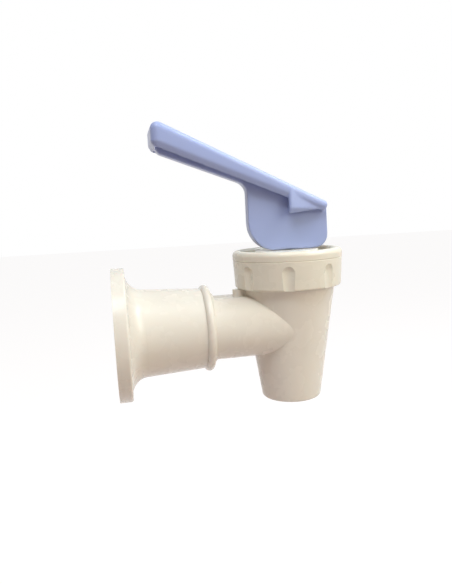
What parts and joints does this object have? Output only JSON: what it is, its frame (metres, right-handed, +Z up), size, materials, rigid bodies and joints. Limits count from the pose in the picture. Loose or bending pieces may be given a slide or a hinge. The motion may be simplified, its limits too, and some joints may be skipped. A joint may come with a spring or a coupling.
{
  "type": "push-lever water tap",
  "caption": "Water dispenser tap with a flared wall sleeve, an oval arm, a tapered spout, a fluted cap and a blue thumb lever on a spring valve.",
  "frame": {"origin": "centre of the inlet socket's mouth, in the plane of the flange's back face", "axes": "+X along the inlet axis away from the wall, +Z up along the barrel, +Y to the left seen from the spout"},
  "size_m": [0.0889, 0.05, 0.1061],
  "materials": {
    "body_plastic": "glossy moulded cream plastic",
    "cap_plastic": "glossy moulded warm cream plastic",
    "lever_plastic": "glossy moulded pale blue plastic, slightly translucent",
    "cup_silicone": "milky food-grade silicone",
    "gasket_rubber": "black rubber",
    "inner_nylon": "natural nylon",
    "spring_steel": "drawn stainless wire"
  },
  "bodies": {
    "tap": {"tap_body": "body_plastic", "flare_sleeve": "body_plastic", "bonnet_cap": "cap_plastic", "inlet_gasket": "gasket_rubber"},
    "valve": {"seat_cup": "cup_silicone", "return_spring": "spring_steel", "spring_seat": "inner_nylon"},
    "stem": {"stem": "inner_nylon", "lever_pin": "spring_steel"},
    "lever": {"lever": "lever_plastic"}
  },
  "joints": [
    {"name": "valve_lift", "type": "slide", "parent": "tap", "child": "valve", "axis": [0, 0, 1], "range_m": [0, 0.00243], "stiffness_N_per_m": 400, "springref_m": -0.005, "deforming": ["seat_cup", "return_spring"]},
    {"name": "swivel", "type": "hinge", "parent": "valve", "child": "stem", "pos_m": [0.0677, 0, 0.02], "axis": [0, 0, 1], "continuous": true},
    {"name": "lever_press", "type": "hinge", "parent": "stem", "child": "lever", "pos_m": [0.0677, 0, 0.034], "axis": [0, -1, 0], "range_deg": [0, 25]}
  ],
  "couplings": [
    {"joint": "lever_press", "follows": "valve_lift", "rad_per_m": 179.5}
  ]
}
